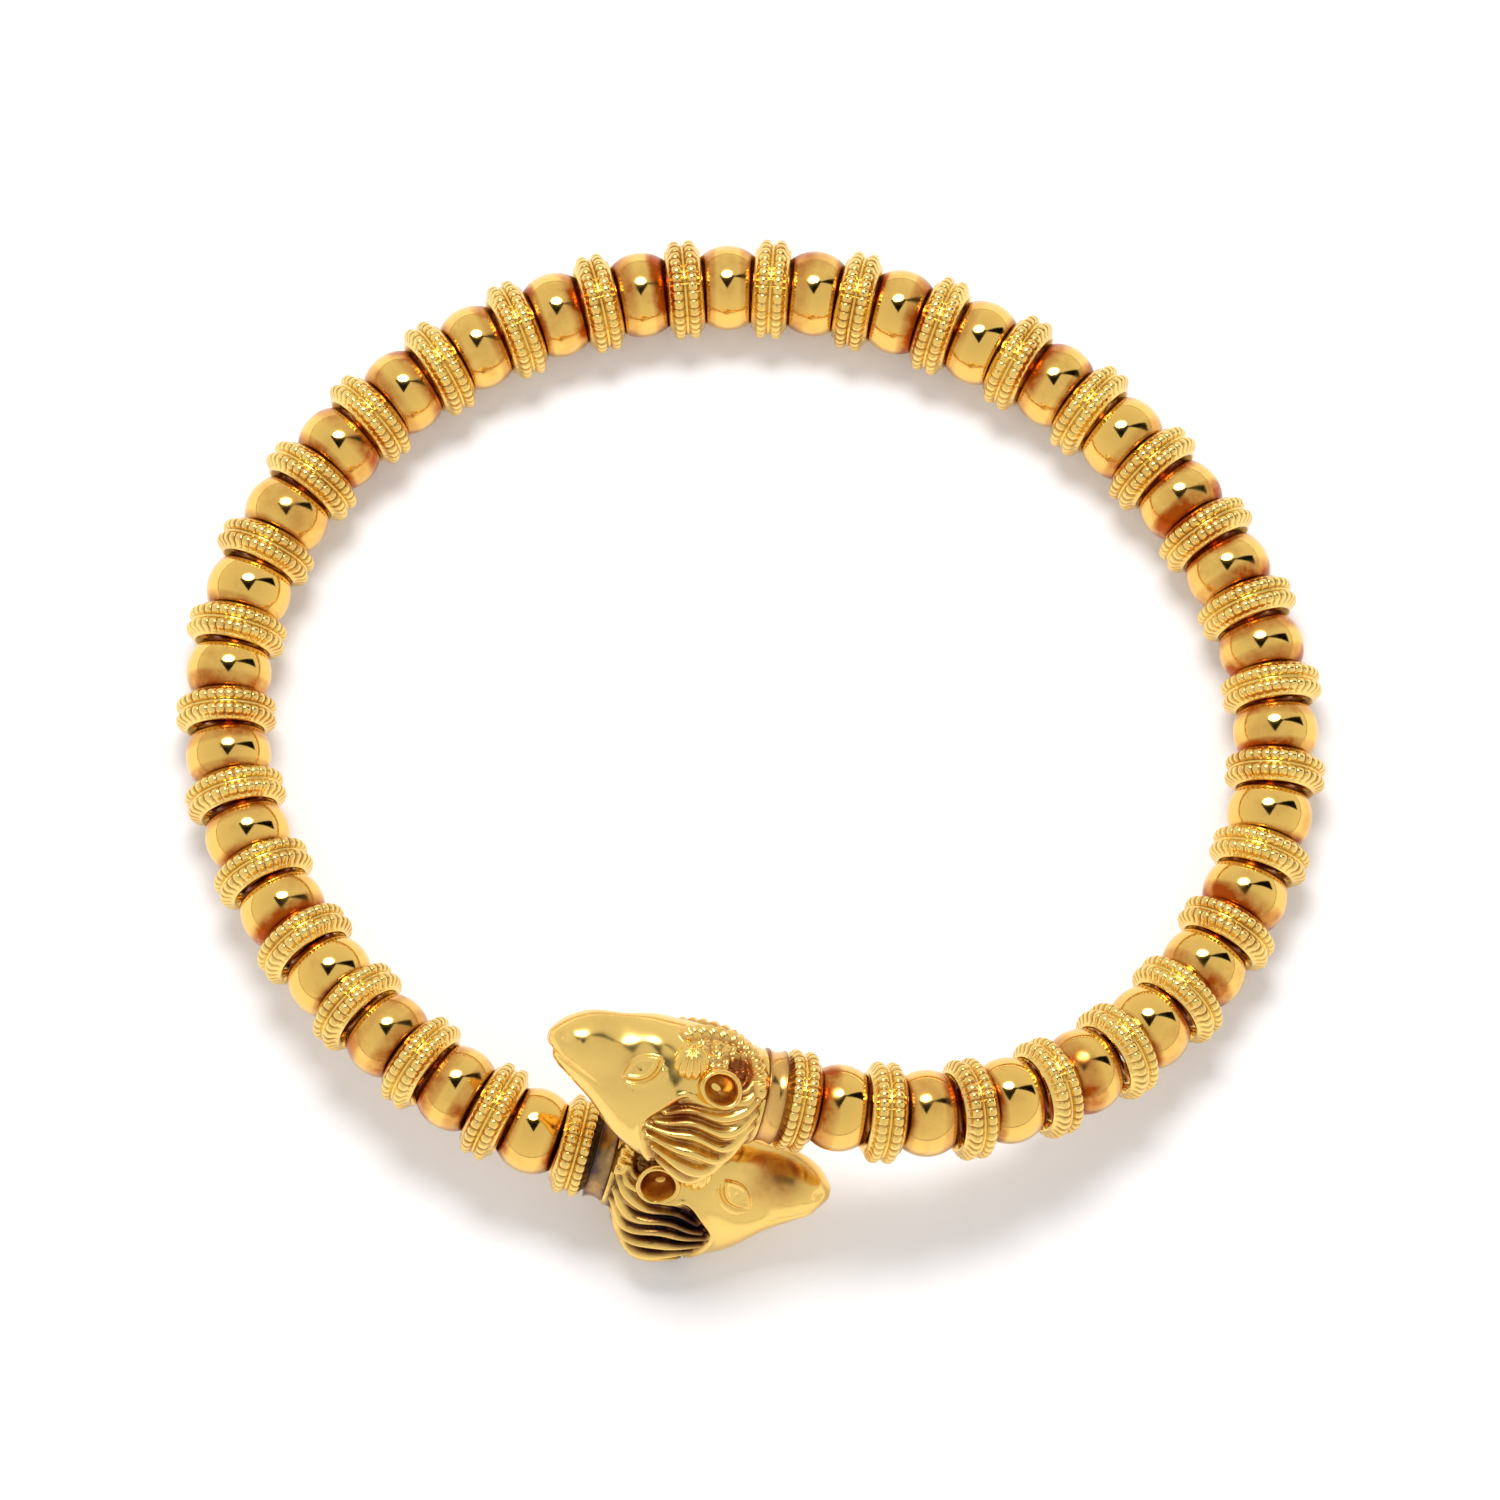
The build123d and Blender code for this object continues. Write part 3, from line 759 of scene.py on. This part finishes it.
def head_relief(points, around):
    """On one side of the skin: height of the relief in mm, and the shares of dark patina, of
    red stain in the recesses and of red stain on the muzzle; under the ear both films also carry painted
    shade."""
    along, level = points[..., 0], points[..., 2]
    off_neck = rise(*NECK_BLEND, along)

    # The mane's ground lies behind the cheek's edge and behind the ear
    away, _, side = nearest_on(along_route(on_skin(CHEEK_EDGE, points, around)), along, around)
    into_mane = away * side
    behind_ear = rise(0.0, 0.6, BEHIND_EAR[0] - along) * rise(-0.5, 0.8, BEHIND_EAR[1] - level)
    mane = np.maximum(rise(*MANE_BLEND, into_mane), behind_ear) * off_neck
    cheek_lip = CHEEK_LIP_HEIGHT * ridge(into_mane + CHEEK_LIP_PLACE, CHEEK_LIP_HALF_WIDTH)

    strands = lock_relief(points, around)
    crest, side = crest_relief(points, around)
    fleece_place = (rise(0, 0.5, FLEECE_FRONT - along) * rise(0, 0.4, along - FLEECE_BACK)
                    * rise(0, 0.4, level - FLEECE_LOWEST) * (side < 0))
    fleece = fleece_relief(along, level) * fleece_place
    ear = np.hypot((along - EAR[0]) / EAR_RADII[0], (level - EAR[1]) / EAR_RADII[1])
    ear_pit = EAR_PIT_DEPTH * rise(0.0, 0.35, 1.0 - ear)

    relief = (face_relief(along, level) + cheek_lip) * (1 - mane) - MANE_DEPTH * mane
    relief = np.maximum(relief, np.where(strands > 0, strands - LOCK_SINK, -np.inf))
    relief = np.maximum(relief, np.where(crest > 0.02, crest - CREST_SINK, -np.inf))
    relief = relief + fleece * (crest < 0.1) * (strands < 0.05) - ear_pit
    relief = softened(relief * rise(0.0, 0.5, along))

    # Under the ear the dark groove film climbs further up the locks: painted shade
    painted_shade_under_ear = hump(along, level, *PAINTED_SHADE_UNDER_EAR)
    full, end = (height + more * painted_shade_under_ear for height, more in zip(LOCK_FILM, PAINTED_SHADE_FILM_REACH))
    grooves = mane * (1 - rise(full, end, strands)) * (crest < 0.1)
    dark = np.maximum(mane * (1 - rise(*GROUND_FILM, relief)), grooves)
    between_curls = CURL_FILM_STRENGTH * (fleece_place > 0.5) * (1 - fleece / CURL_HEIGHT)
    between_twists = CREST_FILM_STRENGTH * (crest > 0.1) * (1 - rise(*CREST_FILM, crest))
    round_eye = hump(along, level, *EYE, *EYE_STAIN) * (1 - rise(*EYE_FILM, relief))
    stained = np.max([between_curls, grooves, between_twists, round_eye], axis=0)
    return relief, softened(dark), softened(stained), hump(along, level, *MUZZLE_STAIN)


def head_shell():
    """The whole head's skin with its relief, both sides, as one closed loop of columns."""
    points, around = head_skin()
    relief, *films = head_relief(points, around)
    normal = skin_normals(points)
    normal[:, (0, -1), 1] = 0
    shaped = points + unit(normal) * relief[..., None]
    shaped[:, (0, -1), 1] = 0
    other = shaped[:, -2:0:-1] * (1, -1, 1)
    films = [np.concatenate([film, film[:, -2:0:-1]], 1).reshape(-1) for film in films]
    return np.concatenate([shaped, other], 1), films


def side_of_skin(along, level):
    """Half width of the head at a place on its side, in mm."""
    points, _ = head_skin()
    row = int(np.argmin(np.abs(points[:, 0, 0] - along)))
    column = int(np.argmin(np.abs(points[row, :, 2] - level)))
    return points[row, column, 1]


def ear_cup(side):
    """A cup ear: an oval wall that rises from the cheek, rolls over its rim and dips to a bowl.

    The oval is EAR_LEAF wider at EAR_POINT, after a cubed cosine, and its wall is higher towards
    the jaw."""
    wall = np.array(EAR_WALL)
    turn = np.linspace(0, 2 * math.pi, EAR_COLUMNS, endpoint=False)
    leaf = 1 + EAR_LEAF * np.maximum(np.cos(turn - math.radians(EAR_POINT)), 0) ** 3
    x = EAR[0] + EAR_RADII[0] * wall[:, :1] * leaf * np.cos(turn)
    z = EAR[1] + EAR_RADII[1] * wall[:, :1] * leaf * np.sin(turn)
    base = side_of_skin(*EAR) - EAR_SINK
    y = side * (base + wall[:, 1:] * (1 + EAR_SLANT * np.cos(turn - math.radians(EAR_HIGH_SIDE))))
    return np.stack([x, y, z], -1)


def horn_bud(side):
    """A budding horn, round and ribbed like a melon: a ball whose radius falls in sharp
    grooves between BUD_LOBES lobes, towards both poles less."""
    lift = np.linspace(BUD_POLE_GAP, math.pi - BUD_POLE_GAP, BUD_ROWS)[:, None]
    turn = np.linspace(0, 2 * math.pi, BUD_LOBES * BUD_LOBE_COLUMNS, endpoint=False)[None]
    lobe = np.abs(np.cos(BUD_LOBES * turn / 2)) ** 0.7
    radius = BUD_RADIUS * (1 - BUD_GROOVE * (1 - lobe) * np.sin(lift) ** 0.6)
    pole = unit(BUD_POLE * np.array((1, side, 1)))
    first, second = axes_across(pole)
    middle = np.array((BUD[0], side * (side_of_skin(*BUD) - BUD_SINK), BUD[1]))
    sideways = np.cos(turn)[..., None] * first + np.sin(turn)[..., None] * second
    direction = np.sin(lift)[..., None] * sideways + np.cos(lift)[..., None] * pole
    return middle + radius[..., None] * direction


def head_axes(end):
    """Where a head starts and its forward, side and crown directions."""
    forward = ring_axes[-1] if end == "upper" else -ring_axes[0]
    upright = unit(np.array((0.0, 0.0, 1.0)) - forward * forward[2])
    inward = np.cross(upright, forward)
    inward *= np.sign(inward[1])
    lean = math.radians(HEAD_LEAN[end])
    crown = upright * math.cos(lean) + inward * math.sin(lean)
    start = middle_of(f"neck_collar_{end}") + forward * (COLLAR_LENGTH / 2 + PART_GAP)
    return start, forward, np.cross(crown, forward), crown


def build_heads():
    """Both cast heads, each one piece: skin, ears and horn buds."""
    shell, (dark, stained, muzzle) = head_shell()
    row = np.repeat(np.arange(len(EAR_WALL)), EAR_COLUMNS)
    bowl = rise(EAR_RIM_ROW, EAR_RIM_ROW + 3, row) * BOWL_TARNISH
    for end in ("lower", "upper"):
        start, *axes = head_axes(end)
        skin = surface("skin", placed(shell * MM, start, *axes),
                       cap_first=True, cap_last=True, outward=False)
        groove_share, muzzle_share = HEAD_FILMS[end]
        point_value(skin, "patina", dark * groove_share)
        point_value(skin, "tarnish", stained + muzzle * muzzle_share)
        meshes = [skin]
        for side in (1, -1):
            cup = surface("ear", placed(ear_cup(side) * MM, start, *axes),
                          cap_first=True, cap_last=True, outward=side < 0)
            bud = surface("bud", placed(horn_bud(side) * MM, start, *axes),
                          cap_first=True, cap_last=True, outward=False)
            point_value(cup, "tarnish", np.append(bowl, (0.0, BOWL_TARNISH)))
            meshes += [cup, bud]
        new_piece(join_meshes(f"cast_head_{end}", meshes), head_gold, [f"head_{end}"])


build_beads()
build_rings()
build_collars()
build_heads()


def stage_sheet(name, corners, colour, strength=None):
    """A flat piece of the studio: matt paint, which also glows where a strength is given."""
    mesh = bpy.data.meshes.new(name)
    mesh.from_pydata(corners, [], [list(range(len(corners)))])
    sheet = bpy.data.objects.new(name, mesh)
    bpy.context.scene.collection.objects.link(sheet)
    material = bpy.data.materials.new(name)
    material.use_nodes = True
    paint = material.node_tree.nodes["Principled BSDF"]
    paint.inputs["Base Color"].default_value = linear(colour)
    paint.inputs["Roughness"].default_value = 0.9
    paint.inputs["Specular IOR Level"].default_value = 0.0
    if strength is not None:
        paint.inputs["Emission Color"].default_value = linear(colour)
        paint.inputs["Emission Strength"].default_value = strength
    mesh.materials.append(material)


def area_light(name, place, target, size, power):
    """An oval soft light that looks at a point."""
    data = bpy.data.lights.new(name, "AREA")
    data.shape = "ELLIPSE"
    data.size, data.size_y = size
    data.energy = power
    light = bpy.data.objects.new(name, data)
    light.location = place
    light.rotation_mode = "QUATERNION"
    light.rotation_quaternion = (Vector(target) - Vector(place)).to_track_quat("-Z", "Y")
    bpy.context.scene.collection.objects.link(light)


def towards(direction, distance):
    """A point at a distance from the collar's middle, in a direction right, back and up."""
    return tuple(distance * unit(np.array(direction, float)))


def build_studio():
    """White table in a pale tent with an oval soft light overhead towards the back. The tent
    is dark where its gaps are: above the camera, along its right seam and where it meets the table."""
    corners = [(-TENT, -TENT), (TENT, -TENT), (TENT, TENT), (-TENT, TENT)]
    stage_sheet("table", [(*corner, 0) for corner in corners], TABLE_WHITE, TABLE_GLOW)
    stage_sheet("camera_gap", [towards(corner, CAMERA_GAP_DISTANCE) for corner in CAMERA_GAP], GAP_BLACK)
    stage_sheet("seam_gap", [towards(corner, SEAM_GAP_DISTANCE) for corner in SEAM_GAP], GAP_BLACK)
    for number, (start, end) in enumerate(zip(corners, corners[1:] + corners[:1]), 1):
        edge = [(*start, 0), (*end, 0), (*end, EDGE_GAP), (*start, EDGE_GAP)]
        stage_sheet(f"table_edge_{number}", edge, EDGE_BROWN)
    world = bpy.data.worlds.new("tent")
    world.use_nodes = True
    tree = world.node_tree
    direction = add_node(tree, "ShaderNodeTexCoord")
    height = add_node(tree, "ShaderNodeSeparateXYZ", {}, {}, {"Vector": direction.outputs["Generated"]})
    glow = add_range(tree, height.outputs["Z"], 0.0, 1.0, *TENT_GLOW)
    tree.links.new(glow.outputs["Result"], tree.nodes["Background"].inputs["Strength"])
    tree.nodes["Background"].inputs["Color"].default_value = TENT_WHITE
    bpy.context.scene.world = world
    light_place = towards(LIGHT_DIRECTION, LIGHT_DISTANCE)
    area_light("overhead_light", light_place, (0, 0, 0), LIGHT_SIZE, LIGHT_POWER)


def build_camera():
    """The camera looks down at the collar from the front."""
    data = bpy.data.cameras.new("camera")
    data.lens = CAMERA_LENS
    camera = bpy.data.objects.new("camera", data)
    back = Vector((0, -math.cos(CAMERA_HEIGHT_ANGLE), math.sin(CAMERA_HEIGHT_ANGLE)))
    camera.location = CAMERA_TARGET + back * CAMERA_DISTANCE
    camera.rotation_mode = "QUATERNION"
    camera.rotation_quaternion = (-back).to_track_quat("-Z", "Y")
    bpy.context.scene.collection.objects.link(camera)
    bpy.context.scene.camera = camera


build_studio()
build_camera()
bpy.context.scene.view_settings.view_transform = "Standard"
